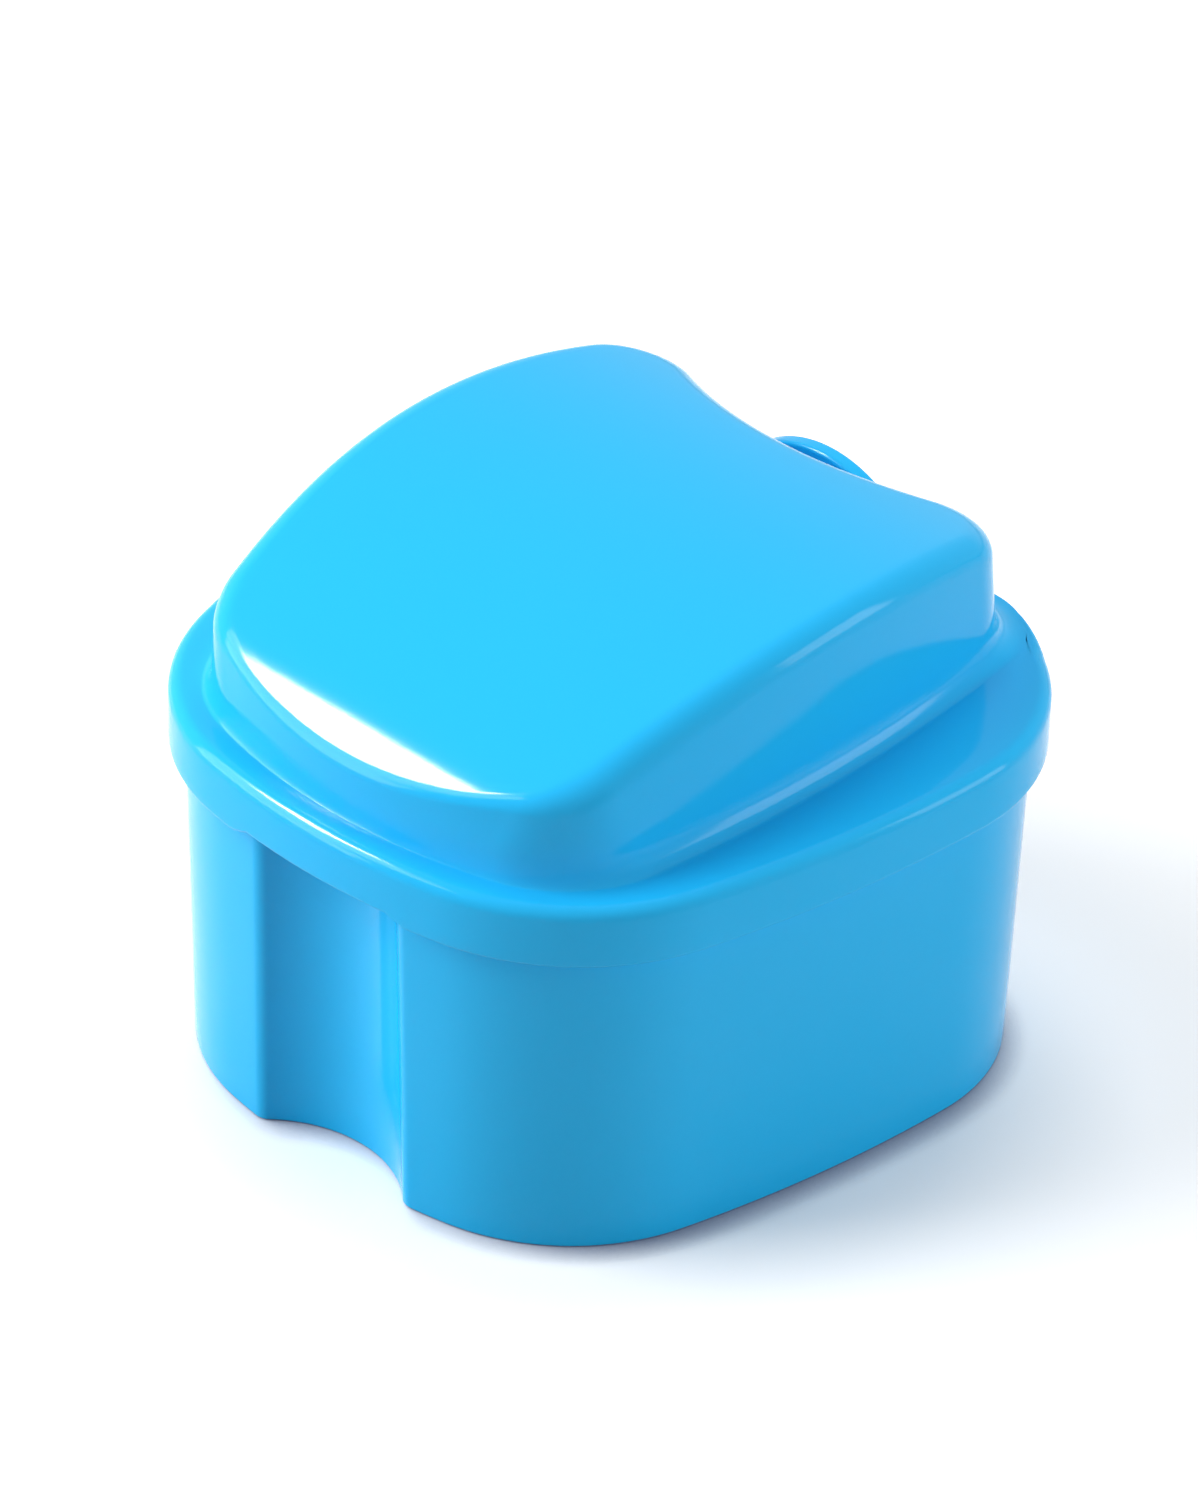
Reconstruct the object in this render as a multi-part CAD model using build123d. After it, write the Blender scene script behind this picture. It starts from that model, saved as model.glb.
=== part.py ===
from build123d import *
import os
from dataclasses import dataclass
from math import ceil, cos, radians, sin, tan

# Retainer cleaning case: soaking tub, press-on lid and lift-out strainer.
# Millimetres. Z is up, the tub's foot stands on Z = 0 and the finger channel faces -Y.
# The origin is under the middle of the case.


@dataclass
class Arch:
    """A closed outline of eight tangent arcs, the same on both sides of X = 0.

    The front arc is rounded towards -Y. The back arc is hollow where back_r is negative.
    """
    front: float
    back: float
    half_width: float
    widest_y: float
    front_r: float
    side_r: float
    back_r: float
    front_corner_r: float
    back_corner_r: float


# Plan of the lid's skirt, which is the widest outline of the case
SKIRT_PLAN = Arch(
    front=42.65, back=42.65, half_width=43.9, widest_y=23.5,
    front_r=85.0, side_r=168.0, back_r=900.0, front_corner_r=27.5, back_corner_r=25.8)

# Tub
RIM_Z = 43.9
TUB_WALL = 1.8
TUB_FLOOR_Z = 3.0
DRAFT = 1.64
FOOT_INSET = 2.95
FOOT_CHAMFER = 0.4
FOOT_RECESS = 0.8
FOOT_RING = 3.0
FLOOR_CORNER_R = 3.0
RIM_CHAMFER = 0.4

# Finger channel down the front of the tub
CHANNEL_R = 15.0
CHANNEL_FLOOR_Y = 34.4
CHANNEL_LIP_R = 2.0
INNER_LIP_R = 3.2

# Strainer basket, whose flange lies between the tub's rim and the lid
SEAT_GAP = 0.1
BASKET_GAP = 0.6
BASKET_WALL = 1.4
BASKET_LIFT = 2.5
BASKET_CORNER_R = 3.0
BASKET_FLANGE = 1.0
FLANGE_SETBACK = 0.15
SLOT_WIDTH = 2.6
FLOOR_SLOT = 11.0
FLOOR_PITCH_X = 6.0
FLOOR_PITCH_Y = 14.5
FLOOR_MARGIN = 3.0
WALL_SLOT = 15.0
WALL_SLOT_Z = 16.0
WALL_PITCH = 8.0

# Lid: a flat flange over the rim with a skirt below it and the raised top inside it
LID_SEAT_Z = RIM_Z + BASKET_FLANGE + 2 * SEAT_GAP
LID_WALL = 1.6
FLANGE_WALL = 1.3
FLANGE_Z = LID_SEAT_Z + FLANGE_WALL
FLANGE_EDGE_R = 0.5
SKIRT_GAP = 0.35
SKIRT_HEIGHT = 7.3
SKIRT_LOW_Z = FLANGE_Z - SKIRT_HEIGHT
RELIEF_DEPTH = 1.0
RELIEF_HALF = 10.3
RELIEF_SLOPE = 2.4

# Plans of the raised, arch-shaped top: foot of its cove, then its wall at two heights
COVE_HEIGHT = 3.6
COVE_STEPS = 3
COVE_PLAN = Arch(
    front=39.1, back=36.4, half_width=33.7, widest_y=3.8,
    front_r=72.5, side_r=212.0, back_r=-33.0, front_corner_r=17.0, back_corner_r=10.2)
RISE_LOW_Z = 47.0
RISE_LOW_PLAN = Arch(
    front=38.7, back=32.6, half_width=31.7, widest_y=3.8,
    front_r=72.0, side_r=210.0, back_r=-36.0, front_corner_r=15.8, back_corner_r=8.75)
RISE_HIGH_Z = 60.0
RISE_HIGH_PLAN = Arch(
    front=38.5, back=31.5, half_width=31.5, widest_y=5.3,
    front_r=53.0, side_r=152.0, back_r=-38.4, front_corner_r=9.3, back_corner_r=8.2)

# Side view of the raised top: a wide crown that rolls down at the front
CROWN_R = 92.7
CROWN_Y = 6.45
CROWN_Z = 65.3
ROLL_R = 25.0
ROLL_Y = -33.5
TOP_EDGE_R = 2.2

# Lifting tab at the back of the basket, and its slot in the lid
TAB_R = 14.0
TAB_TOP_Z = 58.1
TAB_THICK = 2.0
TAB_BACK_Y = 38.8
TAB_EDGE_R = 0.5
TAB_GAP = 0.45


def inset(plan, amount):
    """The same outline moved inwards by amount all round."""
    return Arch(
        plan.front - amount,
        plan.back - amount,
        plan.half_width - amount,
        plan.widest_y,
        plan.front_r - amount,
        plan.side_r - amount,
        plan.back_r - amount,
        plan.front_corner_r - amount,
        plan.back_corner_r - amount,
    )


def between(first, second, share):
    """An outline that lies share of the way from the first to the second."""
    def mix(a, b):
        return a + (b - a) * share
    bend = mix(1 / first.back_r, 1 / second.back_r)
    return Arch(
        mix(first.front, second.front),
        mix(first.back, second.back),
        mix(first.half_width, second.half_width),
        mix(first.widest_y, second.widest_y),
        mix(first.front_r, second.front_r),
        mix(first.side_r, second.side_r),
        1 / bend,
        mix(first.front_corner_r, second.front_corner_r),
        mix(first.back_corner_r, second.back_corner_r),
    )


def circles_meet(centre_a, r_a, centre_b, r_b, towards):
    """The crossing of two circles that lies farthest along the direction towards."""
    span = centre_b - centre_a
    length = span.length
    along = (r_a ** 2 - r_b ** 2 + length ** 2) / (2 * length)
    across = (r_a ** 2 - along ** 2) ** 0.5
    unit = span / length
    normal = Vector(-unit.Y, unit.X)
    crossings = [centre_a + unit * along + normal * side for side in (across, -across)]
    return max(crossings, key=lambda point: point.dot(towards))


def arch_wire(plan, z=0.0):
    """The outline as a wire at height z, from the front arc round to the right."""
    front = Vector(0, plan.front_r - plan.front)
    side = Vector(plan.half_width - plan.side_r, plan.widest_y)
    back = Vector(0, plan.back - plan.back_r)
    front_corner = circles_meet(
        front, plan.front_r - plan.front_corner_r,
        side, plan.side_r - plan.front_corner_r, Vector(0, -1))
    back_corner = circles_meet(
        back, abs(plan.back_r - plan.back_corner_r),
        side, plan.side_r - plan.back_corner_r, Vector(0, plan.back_r))

    def joint(corner, corner_r, neighbour):
        away = (corner - neighbour).normalized()
        if neighbour is back and plan.back_r < 0:
            away = -away
        return corner + away * corner_r

    a = joint(front_corner, plan.front_corner_r, front)
    b = joint(front_corner, plan.front_corner_r, side)
    c = joint(back_corner, plan.back_corner_r, side)
    d = joint(back_corner, plan.back_corner_r, back)

    def middle(centre, radius, start, end):
        return centre + ((start + end) / 2 - centre).normalized() * radius

    right = [
        (a, middle(front_corner, plan.front_corner_r, a, b), b),
        (b, middle(side, plan.side_r, b, c), c),
        (c, middle(back_corner, plan.back_corner_r, c, d), d),
    ]
    left = [tuple(Vector(-p.X, p.Y) for p in reversed(arc)) for arc in reversed(right)]
    front_arc = (Vector(-a.X, a.Y), Vector(0, -plan.front), a)
    back_arc = (d, Vector(0, plan.back), Vector(-d.X, d.Y))
    arcs = [front_arc] + right + [back_arc] + left
    lift = Vector(0, 0, z)
    return Wire([Edge.make_three_point_arc(*[p + lift for p in arc]) for arc in arcs])


def channelled_face(amount, z=0.0, lip=CHANNEL_LIP_R):
    """The skirt's plan inset by amount, with the finger channel cut from its front."""
    radius = CHANNEL_R + amount - FOOT_INSET
    whole = Face(arch_wire(inset(SKIRT_PLAN, amount)))
    cut = Pos(0, -CHANNEL_FLOOR_Y - CHANNEL_R) * Circle(radius)
    face = Sketch() + whole - cut
    lips = face.vertices().sort_by(Axis.Y).filter_by(lambda v: abs(v.X) < radius)[:2]
    return Pos(0, 0, z) * fillet(lips, lip).face()


def drafted(low_z, high_z, low_inset, lip=CHANNEL_LIP_R):
    """A channelled block between two heights that widens upwards with the draft."""
    high_inset = low_inset - (high_z - low_z) * tan(radians(DRAFT))
    sections = [
        channelled_face(low_inset, low_z, lip),
        channelled_face(high_inset, high_z, lip),
    ]
    return loft(sections, ruled=True)


def inset_at(z, thickness=0.0):
    """Inset of the drafted tub wall at height z, thickness behind its outer face."""
    return FOOT_INSET - z * tan(radians(DRAFT)) + thickness


def make_tub():
    outer = drafted(0, RIM_Z, FOOT_INSET)
    foot = outer.faces().sort_by(Axis.Z)[0].edges()
    outer = chamfer(foot, FOOT_CHAMFER)
    room = drafted(TUB_FLOOR_Z, RIM_Z + 1, inset_at(TUB_FLOOR_Z, TUB_WALL), INNER_LIP_R)
    room = fillet(room.faces().sort_by(Axis.Z)[0].edges(), FLOOR_CORNER_R)
    recess = extrude(channelled_face(FOOT_INSET + FOOT_RING), FOOT_RECESS)
    tub = outer - room - recess
    rim = tub.faces().filter_by(Plane.XY).sort_by(Axis.Z)[-1]
    return chamfer(rim.edges(), RIM_CHAMFER)


def rise_plan(z):
    """Plan of the raised top's wall at height z."""
    share = (z - RISE_LOW_Z) / (RISE_HIGH_Z - RISE_LOW_Z)
    return between(RISE_LOW_PLAN, RISE_HIGH_PLAN, share)


def rise_sections(depth):
    """Sections up the raised top with the hollow cove round its foot, depth under its skin."""
    sections = [Face(arch_wire(inset(COVE_PLAN, depth), SKIRT_LOW_Z))]
    neck_z = FLANGE_Z + COVE_HEIGHT
    for step in range(COVE_STEPS + 1):
        turn = radians(90 * step / COVE_STEPS)
        plan = between(COVE_PLAN, rise_plan(neck_z), sin(turn))
        z = FLANGE_Z + COVE_HEIGHT * (1 - cos(turn)) - depth
        sections.append(Face(arch_wire(inset(plan, depth), z)))
    above_z = CROWN_Z + TOP_EDGE_R
    sections.append(Face(arch_wire(inset(rise_plan(above_z), depth), above_z)))
    return sections


def crown_z(y, depth):
    """Height of the crowned top at y, depth under its skin."""
    sine = (ROLL_Y - CROWN_Y) / CROWN_R
    cosine = (1 - sine ** 2) ** 0.5
    if y >= CROWN_Y + (CROWN_R - depth) * sine:
        return CROWN_Z - CROWN_R + ((CROWN_R - depth) ** 2 - (y - CROWN_Y) ** 2) ** 0.5
    roll_y = CROWN_Y + (CROWN_R - ROLL_R) * sine
    roll_z = CROWN_Z - CROWN_R + (CROWN_R - ROLL_R) * cosine
    return roll_z + ((ROLL_R - depth) ** 2 - (y - roll_y) ** 2) ** 0.5


def under_crown(depth):
    """Everything below the crowned top, across the whole case."""
    steps = 7
    crown = [SKIRT_PLAN.back + (ROLL_Y - SKIRT_PLAN.back) * step / steps for step in range(steps + 1)]
    roll = [ROLL_Y - (SKIRT_PLAN.front + ROLL_Y) * share for share in (0.25, 0.5, 0.75, 1)]
    line = Edge.make_spline([Vector(y, crown_z(y, depth)) for y in crown + roll])
    start, end = line @ 0, line @ 1
    corners = [end, Vector(end.X, 0), Vector(start.X, 0), start]
    sides = [Edge.make_line(*pair) for pair in zip(corners, corners[1:])]
    profile = Face(Wire([line, *sides]))
    return extrude(Plane.YZ * profile, 2 * SKIRT_PLAN.half_width, both=True)


def raised_top(depth, edge_r):
    """The arch-shaped rise of the lid under its crowned top, depth under its skin."""
    rise = loft(rise_sections(depth), ruled=True) & under_crown(depth)
    crown = rise.faces().filter_by(lambda face: face.center().Z > RISE_HIGH_Z - TOP_EDGE_R)
    crown = crown.filter_by(lambda face: face.normal_at().Z > cos(radians(60)))
    seams = [edge for face in crown for edge in face.edges()]
    rim = [edge for edge in seams if seams.count(edge) == 1]
    return fillet(rim, edge_r)


def make_lid():
    outer = extrude(Face(arch_wire(SKIRT_PLAN, SKIRT_LOW_Z)), SKIRT_HEIGHT)
    outer = fillet(outer.faces().sort_by(Axis.Z)[-1].edges(), FLANGE_EDGE_R)
    outer += raised_top(0, TOP_EDGE_R)
    mouth = extrude(Face(arch_wire(inset(SKIRT_PLAN, inset_at(RIM_Z) - SKIRT_GAP))), LID_SEAT_Z)
    lid = outer - mouth - raised_top(LID_WALL, TOP_EDGE_R - LID_WALL)
    relief = Polygon(
        (-RELIEF_HALF - RELIEF_SLOPE, SKIRT_LOW_Z),
        (RELIEF_HALF + RELIEF_SLOPE, SKIRT_LOW_Z),
        (RELIEF_HALF, SKIRT_LOW_Z + RELIEF_DEPTH),
        (-RELIEF_HALF, SKIRT_LOW_Z + RELIEF_DEPTH),
        align=None)
    lid -= extrude(Plane.XZ * relief, SKIRT_PLAN.front)
    slot_plan = Rectangle(2 * (TAB_R + TAB_GAP), TAB_THICK + 2 * TAB_GAP)
    slot_plan = fillet(slot_plan.vertices(), TAB_GAP)
    slot_y = TAB_BACK_Y - TAB_THICK / 2
    return lid - extrude(Pos(0, slot_y, SKIRT_LOW_Z) * slot_plan, CROWN_Z - SKIRT_LOW_Z)


def floor_slots(margin_face):
    """Slots in the strainer's floor, each one with both ends inside margin_face."""
    slots = []
    reach = FLOOR_SLOT / 2
    columns = ceil(SKIRT_PLAN.half_width / FLOOR_PITCH_X)
    rows = ceil(SKIRT_PLAN.front / FLOOR_PITCH_Y)
    for column in range(-columns, columns + 1):
        for row in range(-rows, rows + 1):
            x = column * FLOOR_PITCH_X
            y = row * FLOOR_PITCH_Y
            ends = [Vector(x, y + side) for side in (-reach, reach)]
            if all(margin_face.is_inside(end) for end in ends):
                slots.append(Pos(x, y) * SlotOverall(FLOOR_SLOT, SLOT_WIDTH, rotation=90))
    return slots


def wall_slots(path):
    """Upright slots along the strainer's wall, none at the channel."""
    cutters = []
    count = int(path.length / WALL_PITCH)
    for step in range(count):
        share = (step + 0.5) / count
        at = path.position_at(share)
        if at.Y < 0 and abs(at.X) < CHANNEL_R:
            continue
        along = path.tangent_at(share)
        outwards = Vector(along.Y, -along.X)
        plane = Plane(origin=at, x_dir=along, z_dir=outwards)
        slot = plane * SlotOverall(WALL_SLOT, SLOT_WIDTH, rotation=90)
        cutters.append(extrude(slot, 2 * BASKET_WALL, both=True))
    return cutters


def make_tab(root_z):
    """The half-round lifting tab that stands on the strainer's flange."""
    column = Circle(TAB_R) + Rectangle(2 * TAB_R, TAB_TOP_Z, align=(Align.CENTER, Align.MAX))
    above = Rectangle(2 * TAB_R, TAB_TOP_Z, align=(Align.CENTER, Align.MIN))
    outline = Pos(0, TAB_TOP_Z - TAB_R) * column & Pos(0, root_z) * above
    tab = extrude(Plane.XZ.offset(-TAB_BACK_Y) * outline, TAB_THICK)
    return fillet(tab.edges().filter_by(GeomType.CIRCLE), TAB_EDGE_R)


def make_basket():
    floor_z = TUB_FLOOR_Z + BASKET_LIFT
    flange_z = RIM_Z + SEAT_GAP
    outer_gap = TUB_WALL + BASKET_GAP
    outer = drafted(floor_z, flange_z, inset_at(floor_z, outer_gap), INNER_LIP_R)
    outer = fillet(outer.faces().sort_by(Axis.Z)[0].edges(), BASKET_CORNER_R)
    inner_z = floor_z + BASKET_WALL
    room_inset = inset_at(inner_z, outer_gap + BASKET_WALL)
    room = drafted(inner_z, flange_z + 2 * BASKET_FLANGE, room_inset, INNER_LIP_R)
    room = fillet(room.faces().sort_by(Axis.Z)[0].edges(), BASKET_CORNER_R - BASKET_WALL)
    flange = extrude(channelled_face(inset_at(RIM_Z) + FLANGE_SETBACK, flange_z), BASKET_FLANGE)
    basket = (outer + flange - room) + make_tab(flange_z)
    margin = inset_at(inner_z, outer_gap + BASKET_WALL + FLOOR_MARGIN)
    slots = floor_slots(channelled_face(margin))
    basket -= [extrude(Pos(0, 0, floor_z - 1) * slot, BASKET_WALL + 2) for slot in slots]
    mid_wall = inset_at(WALL_SLOT_Z, outer_gap + BASKET_WALL / 2)
    path = arch_wire(inset(SKIRT_PLAN, mid_wall), WALL_SLOT_Z)
    return basket - wall_slots(path)


def main():
    os.makedirs("parts", exist_ok=True)
    pieces = {
        "soaking_tub": make_tub(),
        "strainer_basket": make_basket(),
        "press_on_lid": make_lid(),
    }
    for name, piece in pieces.items():
        solids = piece.solids()
        size = piece.bounding_box().size
        print(name, len(solids), "solid", round(piece.volume), "mm3", size)
        export_step(solids[0] if len(solids) == 1 else piece, f"parts/{name}.step")


main()
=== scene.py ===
import math
from dataclasses import dataclass

import bmesh
import bpy
import numpy as np
from mathutils import Matrix, Vector


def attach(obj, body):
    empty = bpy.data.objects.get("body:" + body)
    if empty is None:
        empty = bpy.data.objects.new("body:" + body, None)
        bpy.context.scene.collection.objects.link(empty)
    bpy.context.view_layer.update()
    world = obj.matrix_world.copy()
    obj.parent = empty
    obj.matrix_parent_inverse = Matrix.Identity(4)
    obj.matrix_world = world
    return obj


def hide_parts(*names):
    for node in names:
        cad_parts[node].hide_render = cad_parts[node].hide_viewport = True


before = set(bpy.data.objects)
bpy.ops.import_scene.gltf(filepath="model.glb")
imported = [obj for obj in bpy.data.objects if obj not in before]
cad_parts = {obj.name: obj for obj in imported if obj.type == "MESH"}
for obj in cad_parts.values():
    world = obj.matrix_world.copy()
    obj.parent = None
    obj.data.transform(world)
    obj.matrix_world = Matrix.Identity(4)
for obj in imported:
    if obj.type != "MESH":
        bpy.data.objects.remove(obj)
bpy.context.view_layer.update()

# All sizes below are in millimetres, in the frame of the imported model
MM = 0.001


@dataclass
class Arch:
    """A closed outline of eight tangent arcs, the same on both sides of X = 0."""
    front: float
    back: float
    half_width: float
    widest_y: float
    front_r: float
    side_r: float
    back_r: float
    front_corner_r: float
    back_corner_r: float


SKIRT_PLAN = Arch(42.65, 42.65, 43.9, 23.5, 85.0, 168.0, 900.0, 27.5, 25.8)
# Foot of the cove round the raised top, then its wall at two heights
COVE_PLAN = Arch(39.1, 36.4, 33.7, 3.8, 72.5, 212.0, -33.0, 17.0, 10.2)
RISE_LOW_Z = 47.0
RISE_LOW_PLAN = Arch(38.7, 32.6, 31.7, 3.8, 72.0, 210.0, -36.0, 15.8, 8.75)
RISE_HIGH_Z = 60.0
RISE_HIGH_PLAN = Arch(38.5, 31.5, 31.5, 5.3, 53.0, 152.0, -38.4, 9.3, 8.2)

# Tub
RIM_Z = 43.9
TUB_WALL = 1.8
TUB_FLOOR_Z = 3.0
DRAFT = math.tan(math.radians(1.64))
FOOT_INSET = 2.95
FOOT_EDGE_R = 0.4
FOOT_RECESS = 0.8
FOOT_RING = 3.0
FLOOR_CORNER_R = 3.0
RIM_EDGE_R = 0.4
CHANNEL_R = 15.0
CHANNEL_FLOOR_Y = 34.4
CHANNEL_LIP_R = 2.0
INNER_LIP_R = 3.2

# Lid
LID_WALL = 1.6
LID_SEAT_Z = 45.1
SKIRT_GAP = 0.35
SKIRT_LOW_Z = 39.1
SKIRT_EDGE_R = 0.4
FLANGE_Z = 46.4
FLANGE_EDGE_R = 1.6
COVE_TOP_Z = 50.0
CROWN_R = 92.7
CROWN_Y = 6.45
CROWN_Z = 65.3
ROLL_R = 25.0
ROLL_Y = -33.5
SIDE_EDGE_R = 3.0
FRONT_EDGE_R = 1.0
FRONT_EDGE_Y = -37.0
SIDE_EDGE_Y = -29.0
RELIEF_DEPTH = 1.0
RELIEF_HALF = 10.3
RELIEF_SLOPE = 2.4

# The strainer's handle
TAB_R = 14.0
TAB_BACK_Y = 38.8
TAB_THICK = 2.0
TAB_GAP = 0.45
TAB_FOOT_Z = 45.3
TAB_FRONT_ROUND = 1.65
TAB_BACK_ROUND = 0.3
TAB_HEIGHT_SHARE = 0.94

# Points along each arc of an outline
FRONT_STEPS = 44
CORNER_STEPS = 60
SIDE_STEPS = 60
BACK_CORNER_STEPS = 70
BACK_STEPS = 40
CHANNEL_STEPS = 30
LIP_STEPS = 16
SHORT_FRONT_STEPS = 16
TUB_BACK_STEPS = 24

# Rings along each surface
FLANGE_SHARES = (0, 0.33, 0.67)
COVE_STEPS = 15
RISE_SHARES = np.linspace(0.2, 0.8, 4)
EDGE_STEPS = 17
CROWN_SHARES = np.linspace(0.97, 0.03, 32)
CROWN_TRIES = 12
SKIRT_SHARES = (0.25, 0.5, 0.75)
FLANGE_EDGE_STEPS = 9
FOOT_EDGE_STEPS = 8
WALL_SHARES = np.linspace(0.1, 1, 10)
FLOOR_CORNER_STEPS = 10
SLOT_CORNER_STEPS = 7

# Smallest rounds, and how much of the flange its edge round may take
LEAST_EDGE_R = 0.3
LEAST_FLANGE_EDGE_R = 0.05
FLANGE_SHARE = 0.6

# Rings close to a corner, which keep it crisp
SEAT_CORNER = 1.0
FOOT_RING_EDGE = 0.1

# Angles, in degrees, from which an edge is crisp
SLOT_CRISP = 50
STRAINER_CRISP = 35


# Outlines

def inset(plan, amount):
    """The same outline moved inwards by amount all round."""
    return Arch(
        plan.front - amount, plan.back - amount, plan.half_width - amount, plan.widest_y,
        plan.front_r - amount, plan.side_r - amount, plan.back_r - amount,
        plan.front_corner_r - amount, plan.back_corner_r - amount)


def circles_meet(centre_a, r_a, centre_b, r_b, towards):
    """The crossing of two circles that lies farthest along the direction towards."""
    span = centre_b - centre_a
    length = np.linalg.norm(span)
    along = (r_a ** 2 - r_b ** 2 + length ** 2) / (2 * length)
    across = math.sqrt(r_a ** 2 - along ** 2)
    ahead = span / length
    aside = np.array([-ahead[1], ahead[0]])
    crossings = [centre_a + ahead * along + aside * side for side in (across, -across)]
    return max(crossings, key=lambda point: point @ np.array(towards, float))


def unit(vector):
    """The vector at length 1."""
    return vector / np.linalg.norm(vector)


def arc(centre, radius, start, end, count):
    """count points from start towards end along the shorter arc, end left out."""
    a = math.atan2(*(start - centre)[::-1])
    b = math.atan2(*(end - centre)[::-1])
    turn = (b - a + math.pi) % (2 * math.pi) - math.pi
    angles = a + turn * np.arange(count) / count
    return centre + radius * np.stack([np.cos(angles), np.sin(angles)], axis=1)


def arch_centres(plan):
    """Centres of the front, front corner, side, back corner and back arcs."""
    front = np.array([0, plan.front_r - plan.front])
    side = np.array([plan.half_width - plan.side_r, plan.widest_y])
    back = np.array([0, plan.back - plan.back_r])
    front_corner = circles_meet(
        front, plan.front_r - plan.front_corner_r,
        side, plan.side_r - plan.front_corner_r, (0, -1))
    back_corner = circles_meet(
        back, abs(plan.back_r - plan.back_corner_r),
        side, plan.side_r - plan.back_corner_r, (0, plan.back_r))
    return front, front_corner, side, back_corner, back


def mirrored(points):
    """The right half's points and their mirror image, as one closed ring."""
    left = points[::-1] * (-1, 1)
    return np.vstack([points, left[1:-1]])


def side_and_back(plan, back_steps):
    """The end of the front arc, and the right half's arcs from there to the back."""
    front, front_corner, side, back_corner, back = arch_centres(plan)
    a = front_corner + unit(front_corner - front) * plan.front_corner_r
    b = front_corner + unit(front_corner - side) * plan.front_corner_r
    c = back_corner + unit(back_corner - side) * plan.back_corner_r
    d = back_corner + unit(back_corner - back) * plan.back_corner_r * np.sign(plan.back_r)
    middle_back = np.array([0, plan.back])
    return a, [
        arc(front_corner, plan.front_corner_r, a, b, CORNER_STEPS),
        arc(side, plan.side_r, b, c, SIDE_STEPS),
        arc(back_corner, plan.back_corner_r, c, d, BACK_CORNER_STEPS),
        arc(back, abs(plan.back_r), d, middle_back, back_steps),
        middle_back[None],
    ]


def arch_ring(plan):
    """Points round the outline, anticlockwise from the middle of the front."""
    front = arch_centres(plan)[0]
    middle_front = np.array([0, -plan.front])
    front_end, onward = side_and_back(plan, BACK_STEPS)
    return mirrored(np.vstack([
        arc(front, plan.front_r, middle_front, front_end, FRONT_STEPS),
        *onward,
    ]))


def channelled_ring(amount, lip_r=CHANNEL_LIP_R):
    """The skirt's plan inset by amount, with the finger channel in its front."""
    plan = inset(SKIRT_PLAN, amount)
    front = arch_centres(plan)[0]
    channel_r = CHANNEL_R + amount - FOOT_INSET
    channel = np.array([0, -CHANNEL_FLOOR_Y - CHANNEL_R])
    lip = circles_meet(front, plan.front_r - lip_r, channel, channel_r + lip_r, (1, 0))
    in_channel = lip + unit(channel - lip) * lip_r
    on_front = lip + unit(lip - front) * lip_r
    deepest = channel + np.array([0, channel_r])
    front_end, onward = side_and_back(plan, TUB_BACK_STEPS)
    return mirrored(np.vstack([
        arc(channel, channel_r, deepest, in_channel, CHANNEL_STEPS),
        arc(lip, lip_r, in_channel, on_front, LIP_STEPS),
        arc(front, plan.front_r, on_front, front_end, SHORT_FRONT_STEPS),
        *onward,
    ]))


def at_height(ring, z):
    """A flat ring lifted to z, which is one height or one for each point."""
    return np.column_stack([ring, np.broadcast_to(z, len(ring))])


# Meshes

def skin(name, rings, body, material, replaced):
    """One closed mesh through rings of equal length, both ends filled."""
    count = len(rings[0])
    vertices = np.vstack(rings) * MM
    faces = [tuple(range(count))[::-1]]
    for level in range(len(rings) - 1):
        low = level * count
        for i in range(count):
            j = (i + 1) % count
            faces.append((low + i, low + j, low + count + j, low + count + i))
    last = (len(rings) - 1) * count
    faces.append(tuple(range(last, last + count)))
    mesh = bpy.data.meshes.new(name)
    mesh.from_pydata(vertices.tolist(), [], faces)
    mesh.validate()
    mesh.shade_smooth()
    piece = bpy.data.objects.new(name, mesh)
    bpy.context.scene.collection.objects.link(piece)
    mesh.materials.append(material)
    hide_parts(replaced)
    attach(piece, body)
    return piece


def cut(piece, outline, low_z, high_z):
    """An upright hole of the given outline through a piece, with crisp edges."""
    rings = [at_height(outline, z) for z in (low_z, high_z)]
    count = len(outline)
    sides = [(i, (i + 1) % count, (i + 1) % count + count, i + count) for i in range(count)]
    ends = [tuple(range(count))[::-1], tuple(range(count, 2 * count))]
    mesh = bpy.data.meshes.new("cutter")
    mesh.from_pydata((np.vstack(rings) * MM).tolist(), [], sides + ends)
    cutter = bpy.data.objects.new("cutter", mesh)
    bpy.context.scene.collection.objects.link(cutter)
    modifier = piece.modifiers.new("slot", "BOOLEAN")
    modifier.operation = "DIFFERENCE"
    modifier.solver = "EXACT"
    modifier.object = cutter
    evaluated = piece.evaluated_get(bpy.context.evaluated_depsgraph_get())
    cut_mesh = bpy.data.meshes.new_from_object(evaluated)
    piece.modifiers.clear()
    piece.data = cut_mesh
    bpy.data.objects.remove(cutter)
    cut_mesh.shade_smooth()
    cut_mesh.set_sharp_from_angle(angle=math.radians(SLOT_CRISP))


def crown_z(y, depth=0.0):
    """Height of the crowned top, depth under its skin. It curves front to back only."""
    radius = CROWN_R - depth
    lean = math.asin((ROLL_Y - CROWN_Y) / CROWN_R)
    centre_z = CROWN_Z - CROWN_R
    crown = centre_z + np.sqrt(radius ** 2 - (y - CROWN_Y) ** 2)
    roll_y = CROWN_Y + (CROWN_R - ROLL_R) * math.sin(lean)
    roll_z = centre_z + (CROWN_R - ROLL_R) * math.cos(lean)
    roll_r = ROLL_R - depth
    rolled = roll_z + np.sqrt(np.maximum(roll_r ** 2 - (y - roll_y) ** 2, 1))
    return np.where(y < CROWN_Y + radius * math.sin(lean), rolled, crown)


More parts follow.
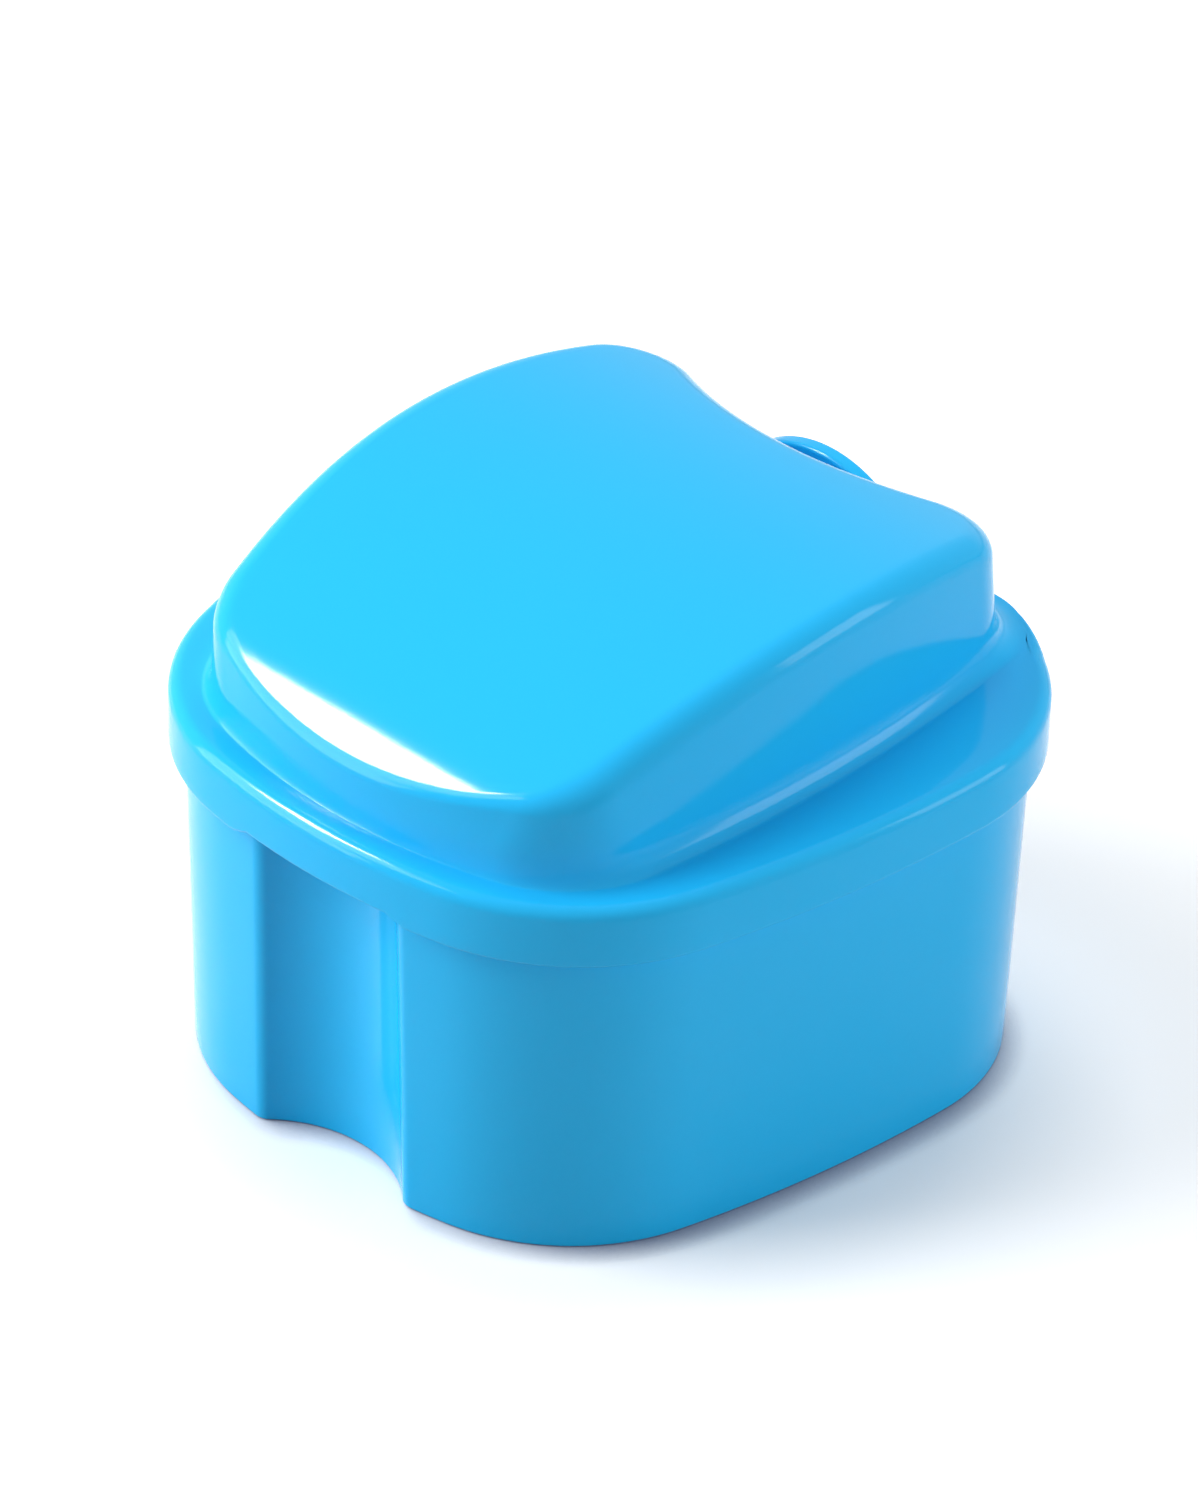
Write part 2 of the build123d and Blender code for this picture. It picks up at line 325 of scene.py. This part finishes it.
def inward(ring):
    """Unit normals that point into the ring, one for each point."""
    along = np.roll(ring, -1, axis=0) - np.roll(ring, 1, axis=0)
    normals = np.stack([-along[:, 1], along[:, 0]], axis=1)
    return normals / np.linalg.norm(normals, axis=1)[:, None]


def rise_ring(z, depth=0.0):
    """The raised top's wall at height z, which is one height or one for each point."""
    low = arch_ring(inset(RISE_LOW_PLAN, depth))
    high = arch_ring(inset(RISE_HIGH_PLAN, depth))
    share = (np.broadcast_to(z, len(low)) - RISE_LOW_Z) / (RISE_HIGH_Z - RISE_LOW_Z)
    return low + (high - low) * share[:, None]


def rounded(start, corner, end, steps):
    """Rings of a round that leaves start and meets end, both straight from corner."""
    first = start - corner
    last = end - corner
    cosine = (first * last).sum(1) / np.linalg.norm(first, axis=1) / np.linalg.norm(last, axis=1)
    weight = np.sqrt((1 - cosine) / 2)[:, None]
    for t in np.linspace(0, 1, steps):
        a, b, c = (1 - t) ** 2, 2 * weight * t * (1 - t), t ** 2
        yield (a * start + b * corner + c * end) / (a + b + c)


def step_from(corner, target, length):
    """Points at length from each corner towards each target."""
    away = target - corner
    return corner + away / np.linalg.norm(away, axis=1)[:, None] * length[:, None]


def flange_edge(depth):
    """Inner line and radii of the flange's edge round, which narrows near the cove."""
    edge = arch_ring(inset(SKIRT_PLAN, depth))
    shore = arch_ring(inset(COVE_PLAN, depth))
    room = np.linalg.norm(edge[:, None] - shore[None], axis=2).min(axis=1)
    edge_r = np.clip(FLANGE_SHARE * room, LEAST_FLANGE_EDGE_R, FLANGE_EDGE_R)
    return edge + inward(edge) * edge_r[:, None], edge_r


def top_rings(depth, base_z):
    """Flange at base_z, cove, wall, edge and crown of the lid, depth under its skin."""
    outer, _ = flange_edge(depth)
    shore = arch_ring(inset(COVE_PLAN, depth))
    rings = [at_height(outer + (shore - outer) * share, base_z) for share in FLANGE_SHARES]
    cove_top = COVE_TOP_Z - depth
    neck = rise_ring(cove_top, depth)
    for angle in np.radians(np.linspace(0, 90, COVE_STEPS)):
        points = shore + (neck - shore) * math.sin(angle)
        rings.append(at_height(points, base_z + (cove_top - base_z) * (1 - math.cos(angle))))
    inside = inward(neck)
    z = np.full(len(neck), CROWN_Z)
    for _ in range(CROWN_TRIES):
        z = crown_z(rise_ring(z, depth)[:, 1], depth)
    corner = at_height(rise_ring(z, depth), z)
    ease = np.clip((corner[:, 1] - FRONT_EDGE_Y) / (SIDE_EDGE_Y - FRONT_EDGE_Y), 0, 1)
    ease = ease ** 2 * (3 - 2 * ease)
    edge_r = FRONT_EDGE_R + (SIDE_EDGE_R - FRONT_EDGE_R) * ease - depth
    edge_r = np.maximum(edge_r, LEAST_EDGE_R)
    inland = corner[:, :2] + inside * edge_r[:, None]
    inland = at_height(inland, crown_z(inland[:, 1], depth))
    wall = step_from(corner, rings[-1], edge_r)
    foot = rings[-1]
    for share in RISE_SHARES:
        rings.append(foot + (wall - foot) * share)
    rings += rounded(wall, corner, inland, EDGE_STEPS)
    middle = np.array([0, CROWN_Y])
    for share in CROWN_SHARES:
        points = middle + (inland[:, :2] - middle) * share
        rings.append(at_height(points, crown_z(points[:, 1], depth)))
    return rings


def relief(ring):
    """How far the skirt's lower edge is raised at each point, over the channel."""
    ramp = (RELIEF_HALF + RELIEF_SLOPE - np.abs(ring[:, 0])) / RELIEF_SLOPE
    return np.where(ring[:, 1] < 0, np.clip(ramp, 0, 1) * RELIEF_DEPTH, 0)


def quarter(steps=6):
    """Sine and one minus cosine over a quarter turn, for a rounded edge."""
    for angle in np.radians(np.linspace(0, 90, steps)):
        yield math.sin(angle), 1 - math.cos(angle)


def tab_slot():
    """Plan of the slot for the strainer's tab: a thin rectangle with rounded corners."""
    half_x = TAB_R + TAB_GAP
    half_y = TAB_THICK / 2 + TAB_GAP
    middle = np.array([0, TAB_BACK_Y - TAB_THICK / 2])
    points = []
    for corner, (x, y) in enumerate([(1, 1), (-1, 1), (-1, -1), (1, -1)]):
        centre = np.array([x * (half_x - TAB_GAP), y * (half_y - TAB_GAP)])
        for turn in np.radians(90 * corner + np.linspace(0, 90, SLOT_CORNER_STEPS)):
            points.append(middle + centre + TAB_GAP * np.array([math.cos(turn), math.sin(turn)]))
    return np.array(points)


def make_lid(material):
    """One shell: down the inside, round the skirt's lower edge, and up the outside."""
    skirt_inner = FOOT_INSET - RIM_Z * DRAFT - SKIRT_GAP
    rings = top_rings(LID_WALL, LID_SEAT_Z)[::-1]
    inner = arch_ring(inset(SKIRT_PLAN, skirt_inner))
    rings.append(at_height(inner, LID_SEAT_Z))
    rings.append(at_height(inner, LID_SEAT_Z - SEAT_CORNER))
    outer = arch_ring(SKIRT_PLAN)
    low = SKIRT_LOW_Z + relief(outer)
    for out, up in quarter():
        plan = inset(SKIRT_PLAN, skirt_inner - SKIRT_EDGE_R * up)
        rings.append(at_height(arch_ring(plan), low + SKIRT_EDGE_R * (1 - out)))
    for out, up in list(quarter())[::-1]:
        plan = inset(SKIRT_PLAN, SKIRT_EDGE_R * up)
        rings.append(at_height(arch_ring(plan), low + SKIRT_EDGE_R * (1 - out)))
    _, edge_r = flange_edge(0)
    for share in SKIRT_SHARES:
        rings.append(at_height(outer, low + (FLANGE_Z - edge_r - low) * share))
    top = top_rings(0, FLANGE_Z)
    under_edge = at_height(outer, FLANGE_Z - edge_r)
    rings += rounded(under_edge, at_height(outer, FLANGE_Z), top[0], FLANGE_EDGE_STEPS)
    rings += top[1:]
    lid = skin("lid_shell", rings, "lid", material, "press_on_lid")
    cut(lid, tab_slot(), SKIRT_LOW_Z, CROWN_Z)
    return lid


def make_tub(material):
    """One shell: from the foot's recess up the outside, and down the inside."""
    def wall_inset(z, thickness=0.0):
        return FOOT_INSET - z * DRAFT + thickness
    ring_inset = FOOT_INSET + FOOT_RING
    rings = [
        at_height(channelled_ring(ring_inset), FOOT_RECESS),
        at_height(channelled_ring(ring_inset), FOOT_RING_EDGE),
        at_height(channelled_ring(ring_inset - FOOT_RING_EDGE), 0),
    ]
    for out, up in quarter(FOOT_EDGE_STEPS):
        amount = FOOT_INSET + FOOT_EDGE_R * (1 - out)
        rings.append(at_height(channelled_ring(amount), FOOT_EDGE_R * up))
    top = RIM_Z - RIM_EDGE_R
    for share in WALL_SHARES:
        z = FOOT_EDGE_R + (top - FOOT_EDGE_R) * share
        rings.append(at_height(channelled_ring(wall_inset(z)), z))
    for out, up in quarter():
        amount = wall_inset(top) + RIM_EDGE_R * up
        rings.append(at_height(channelled_ring(amount), top + RIM_EDGE_R * out))
    inner_top = wall_inset(top, TUB_WALL)
    for out, up in list(quarter())[::-1]:
        amount = inner_top - RIM_EDGE_R * up
        rings.append(at_height(channelled_ring(amount, INNER_LIP_R), top + RIM_EDGE_R * out))
    low = TUB_FLOOR_Z + FLOOR_CORNER_R
    for share in WALL_SHARES:
        z = top + (low - top) * share
        amount = wall_inset(z, TUB_WALL)
        rings.append(at_height(channelled_ring(amount, INNER_LIP_R), z))
    for out, up in quarter(FLOOR_CORNER_STEPS):
        amount = wall_inset(low, TUB_WALL) + FLOOR_CORNER_R * up
        rings.append(at_height(channelled_ring(amount, INNER_LIP_R), low - FLOOR_CORNER_R * out))
    tub = skin("tub_shell", rings, "tub", material, "soaking_tub")
    return tub


def keep_normals(mesh, source):
    """Gives each corner of mesh the normal that source has at the same point and side."""
    same_side = 0.9

    def spot(vertex):
        return tuple(round(c / MM, 2) for c in vertex.co)

    known = {}
    for corner, normal in zip(source.loops, source.corner_normals):
        known.setdefault(spot(source.vertices[corner.vertex_index]), []).append(normal.vector.copy())
    normals = [normal.vector.copy() for normal in mesh.corner_normals]
    for face in mesh.polygons:
        for index in face.loop_indices:
            for normal in known.get(spot(mesh.vertices[mesh.loops[index].vertex_index]), []):
                if normal.dot(face.normal) > same_side:
                    normals[index] = normal
    mesh.normals_split_custom_set(normals)


def make_strainer(material):
    """The strainer as packed, with the rim of its tab rounded for the fingers."""
    weld, flat_angle, rim_angle, off_middle, round_steps = 0.0005, 0.005, 0.6, 0.5, 6
    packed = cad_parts["strainer_basket"]
    place = packed.matrix_world.copy()
    work = bmesh.new()
    work.from_mesh(packed.data)
    bmesh.ops.remove_doubles(work, verts=work.verts, dist=weld * MM)

    def on_tab(edge):
        heights = [(place @ vertex.co).z for vertex in edge.verts]
        return min(heights) > TAB_FOOT_Z * MM and len(edge.link_faces) == 2

    flat = [edge for edge in work.edges if on_tab(edge) and edge.calc_face_angle() < flat_angle]
    bmesh.ops.dissolve_edges(work, edges=flat, use_verts=False)
    middle = (TAB_BACK_Y - TAB_THICK / 2) * MM
    for side, amount in ((-1, TAB_FRONT_ROUND), (1, TAB_BACK_ROUND)):
        rim = [
            edge for edge in work.edges if on_tab(edge) and edge.calc_face_angle() > rim_angle
            and all(
                ((place @ vertex.co).y - middle) * side > off_middle * MM
                for vertex in edge.verts)]
        bmesh.ops.bevel(
            work, geom=rim, offset=amount * MM, offset_type="OFFSET", segments=round_steps,
            profile=0.5, affect="EDGES", clamp_overlap=True)
    for vertex in work.verts:
        if vertex.co.z > TAB_FOOT_Z * MM:
            above = vertex.co.z - TAB_FOOT_Z * MM
            vertex.co.z = TAB_FOOT_Z * MM + above * TAB_HEIGHT_SHARE
    mesh = bpy.data.meshes.new("strainer_shell")
    work.to_mesh(mesh)
    work.free()
    mesh.shade_smooth()
    mesh.set_sharp_from_angle(angle=math.radians(STRAINER_CRISP))
    keep_normals(mesh, packed.data)
    mesh.materials.append(material)
    strainer = bpy.data.objects.new("strainer_shell", mesh)
    bpy.context.scene.collection.objects.link(strainer)
    strainer.matrix_world = place
    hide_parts("strainer_basket")
    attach(strainer, "strainer")
    return strainer


# Materials

# Spacing of the marks that moulding leaves
FLOW_MARK = 38.0
SHRINK_RIPPLE = 11.0
ORANGE_PEEL = 1.1
# The case shines less than plain polypropylene at its IOR does
GLOSS_LEVEL = 0.15


def linear(hex_colour):
    """An sRGB hex colour as linear red, green, blue and full alpha."""
    parts = [int(hex_colour[i:i + 2], 16) / 255 for i in (1, 3, 5)]
    return [c / 12.92 if c <= 0.04045 else ((c + 0.055) / 1.055) ** 2.4 for c in parts] + [1]


def add_node(tree, kind, settings=None, inputs=None):
    """One node with its settings; an input is a value or another node's socket."""
    node = tree.nodes.new(kind)
    for name, value in (settings or {}).items():
        setattr(node, name, value)
    for name, value in (inputs or {}).items():
        if isinstance(value, bpy.types.NodeSocket):
            tree.links.new(value, node.inputs[name])
        else:
            node.inputs[name].default_value = value
    return node


def moulded_polypropylene(name, colour, flow_colour, roughness=0.10):
    """Injection-moulded polypropylene from a polished mould.

    It looks clean and evenly glossy. The melt's flow leaves faint, wide shifts in the
    tint, shrinkage leaves a slow ripple, and the mould's polish leaves a fine orange peel.
    """
    material = bpy.data.materials.new(name)
    material.use_nodes = True
    tree = material.node_tree
    tree.nodes.clear()
    place = add_node(tree, "ShaderNodeTexCoord").outputs["Object"]
    flow = add_node(tree, "ShaderNodeTexNoise", inputs={
        "Vector": place, "Scale": 1 / (FLOW_MARK * MM), "Detail": 2.0, "Distortion": 0.6})
    tint = add_node(tree, "ShaderNodeMix", {"data_type": "RGBA"}, {
        "Factor": flow.outputs["Fac"]})
    tint.inputs["A"].default_value = linear(colour)
    tint.inputs["B"].default_value = linear(flow_colour)
    gloss = add_node(tree, "ShaderNodeMapRange", inputs={
        "Value": flow.outputs["Fac"], "To Min": roughness * 0.85, "To Max": roughness * 1.15})
    ripple = add_node(tree, "ShaderNodeTexNoise", inputs={
        "Vector": place, "Scale": 1 / (SHRINK_RIPPLE * MM), "Detail": 1.0})
    slow_bump = add_node(tree, "ShaderNodeBump", inputs={
        "Height": ripple.outputs["Fac"], "Strength": 0.05, "Distance": 0.1 * MM})
    peel = add_node(tree, "ShaderNodeTexNoise", inputs={
        "Vector": place, "Scale": 1 / (ORANGE_PEEL * MM), "Detail": 2.0})
    fine_bump = add_node(tree, "ShaderNodeBump", inputs={
        "Height": peel.outputs["Fac"], "Strength": 0.04, "Distance": 0.02 * MM,
        "Normal": slow_bump.outputs["Normal"]})
    shader = add_node(tree, "ShaderNodeBsdfPrincipled", inputs={
        "Base Color": tint.outputs["Result"], "Roughness": gloss.outputs["Result"], "IOR": 1.49,
        "Specular IOR Level": GLOSS_LEVEL, "Normal": fine_bump.outputs["Normal"]})
    add_node(tree, "ShaderNodeOutputMaterial", inputs={"Surface": shader.outputs["BSDF"]})
    return material


# Studio

# The photograph's view, fitted to the case's outlines
CAMERA_PLACE = (559.66, -614.14, 610.83)
CAMERA_RIGHT = (0.72838, 0.68472, 0.0249)
CAMERA_DOWN = (0.40486, -0.40079, -0.82186)
CAMERA_AHEAD = (-0.55277, 0.60871, -0.56914)
CAMERA_LENS = 223.15

# Light, with places in metres
CASE_MIDDLE = (0, 0, 0.035)
FLOOR_SIZE = 8
WORLD_LIGHT = 0.15
FLOOR_WHITE = "#f6f6f6"
FLOOR_GLOW = 0.2
FLOOR_BOUNCE = "#c0c0c0"
# Painted shade: close to the case's foot, on the side away from this direction, ambient occlusion
# darkens the paper's colour
CONTACT_LIGHT = (-0.8, 0.3, 0.5)
CONTACT_REACH = 5.0
CONTACT_DARK = 0.2
CONTACT_CLEAR = 0.74
PAINTED_CONTACT_SHADE = "#4c587a"


def make_camera():
    """A long lens at the place and turn from which the photograph was taken."""
    data = bpy.data.cameras.new("camera")
    data.lens = CAMERA_LENS
    data.clip_start = 0.1
    data.clip_end = 20
    camera = bpy.data.objects.new("camera", data)
    bpy.context.scene.collection.objects.link(camera)
    axes = Matrix((CAMERA_RIGHT, [-c for c in CAMERA_DOWN], [-c for c in CAMERA_AHEAD]))
    camera.matrix_world = Matrix.Translation(Vector(CAMERA_PLACE) * MM) @ axes.transposed().to_4x4()
    bpy.context.scene.camera = camera


def make_soft_box(name, place, size, watts, upright=(0, 0, 1), matt=True, gloss=True):
    """A lamp in metres, turned towards the case, its height along upright.

    It lights the matt part of a surface, shows in its gloss, or does both.
    """
    data = bpy.data.lights.new(name, "AREA")
    data.shape = "RECTANGLE"
    data.size, data.size_y = size
    data.energy = watts
    lamp = bpy.data.objects.new(name, data)
    bpy.context.scene.collection.objects.link(lamp)
    back = (Vector(place) - Vector(CASE_MIDDLE)).normalized()
    across = Vector(upright).cross(back).normalized()
    turned = Matrix((across, back.cross(across), back)).transposed()
    lamp.matrix_world = Matrix.Translation(place) @ turned.to_4x4()
    lamp.visible_diffuse = matt
    lamp.visible_glossy = gloss


def seen_or_mirrored(tree):
    """1 where the camera sees the surface, straight, in gloss or through glass, else 0."""
    ray = add_node(tree, "ShaderNodeLightPath").outputs
    seen = ray["Is Camera Ray"]
    for way in ("Is Glossy Ray", "Is Transmission Ray"):
        either = add_node(tree, "ShaderNodeMath", {"operation": "MAXIMUM"})
        tree.links.new(seen, either.inputs[0])
        tree.links.new(ray[way], either.inputs[1])
        seen = either.outputs["Value"]
    return seen


def make_floor():
    """Matt white paper. It looks white where nothing shades it, and keeps the lamps' shadows. A
    contact shade close to the case's foot is painted into its colour.

    It throws less light on the case than its look has, so that the walls stay deep.
    """
    bpy.ops.mesh.primitive_plane_add(size=FLOOR_SIZE, location=(0, 0, 0))
    floor = bpy.context.object
    floor.name = "floor"
    material = bpy.data.materials.new("matt_white_paper")
    material.use_nodes = True
    tree = material.node_tree
    tree.nodes.clear()
    grey = add_node(tree, "ShaderNodeBsdfDiffuse", inputs={"Color": linear(FLOOR_BOUNCE)})
    # Painted shade: ambient occlusion, leaned one way, finds where the case's foot is close
    lean = add_node(tree, "ShaderNodeCombineXYZ", inputs=dict(zip("XYZ", CONTACT_LIGHT)))
    open_sky = add_node(tree, "ShaderNodeAmbientOcclusion", {"samples": 16}, {
        "Distance": CONTACT_REACH * MM, "Normal": lean.outputs["Vector"]})
    share = add_node(tree, "ShaderNodeMapRange", inputs={
        "Value": open_sky.outputs["AO"], "From Min": CONTACT_DARK,
        "From Max": CONTACT_CLEAR})
    # Painted shade: the paper's colour, and its glow, darken towards the shade colour near the foot
    tint = add_node(tree, "ShaderNodeMix", {"data_type": "RGBA"}, {
        "Factor": share.outputs["Result"]})
    tint.inputs["A"].default_value = linear(PAINTED_CONTACT_SHADE)
    tint.inputs["B"].default_value = linear(FLOOR_WHITE)
    paper = add_node(tree, "ShaderNodeBsdfDiffuse", inputs={"Color": tint.outputs["Result"]})
    glow = add_node(tree, "ShaderNodeEmission", inputs={
        "Color": tint.outputs["Result"], "Strength": FLOOR_GLOW})
    lit = add_node(tree, "ShaderNodeAddShader")
    tree.links.new(paper.outputs["BSDF"], lit.inputs[0])
    tree.links.new(glow.outputs["Emission"], lit.inputs[1])
    mix = add_node(tree, "ShaderNodeMixShader", inputs={"Fac": seen_or_mirrored(tree)})
    tree.links.new(grey.outputs["BSDF"], mix.inputs[1])
    tree.links.new(lit.outputs["Shader"], mix.inputs[2])
    add_node(tree, "ShaderNodeOutputMaterial", inputs={"Surface": mix.outputs["Shader"]})
    floor.data.materials.append(material)


def make_world():
    """Soft light from all round, which the camera and the gloss see as plain white."""
    world = bpy.data.worlds.new("white_studio")
    bpy.context.scene.world = world
    world.use_nodes = True
    tree = world.node_tree
    tree.nodes.clear()
    soft = add_node(tree, "ShaderNodeBackground", inputs={
        "Color": (1, 1, 1, 1), "Strength": WORLD_LIGHT})
    white = add_node(tree, "ShaderNodeBackground", inputs={"Color": (1, 1, 1, 1), "Strength": 1.0})
    mix = add_node(tree, "ShaderNodeMixShader", inputs={"Fac": seen_or_mirrored(tree)})
    tree.links.new(soft.outputs["Background"], mix.inputs[1])
    tree.links.new(white.outputs["Background"], mix.inputs[2])
    add_node(tree, "ShaderNodeOutputWorld", inputs={"Surface": mix.outputs["Shader"]})


def make_studio():
    """Boxes and cards that light the case, and strips that only show in its gloss."""
    make_camera()
    make_floor()
    make_world()
    make_soft_box("key_box", (-0.587, -0.492, 0.678), (0.6, 0.6), 7.7)
    make_soft_box("top_box", (-0.20, 0.25, 0.985), (0.5, 0.5), 4.9, gloss=False)
    make_soft_box("left_card", (-0.70, -0.70, 0.24), (0.7, 0.4), 6.2)
    make_soft_box("right_card", (0.90, 0.365, 0.26), (0.9, 0.45), 6.2, gloss=False)
    make_soft_box("right_strip", (0.798, 0.615, 0.26), (0.36, 0.45), 2.5, matt=False)
    make_soft_box(
        "front_strip", (-0.574, -0.323, 0.795), (0.195, 0.26), 15.0, (0.32, 0.67, 0.67),
        matt=False)
    bpy.context.scene.view_settings.view_transform = "Standard"


SKY_BLUE = "#20b4f0"
SKY_BLUE_FLOW = "#20b2ec"

make_lid(moulded_polypropylene("polished_polypropylene_lid", SKY_BLUE, SKY_BLUE_FLOW))
make_tub(moulded_polypropylene("polished_polypropylene_tub", SKY_BLUE, SKY_BLUE_FLOW))
make_strainer(moulded_polypropylene(
    "moulded_polypropylene_strainer", SKY_BLUE, SKY_BLUE_FLOW, roughness=0.16))
make_studio()
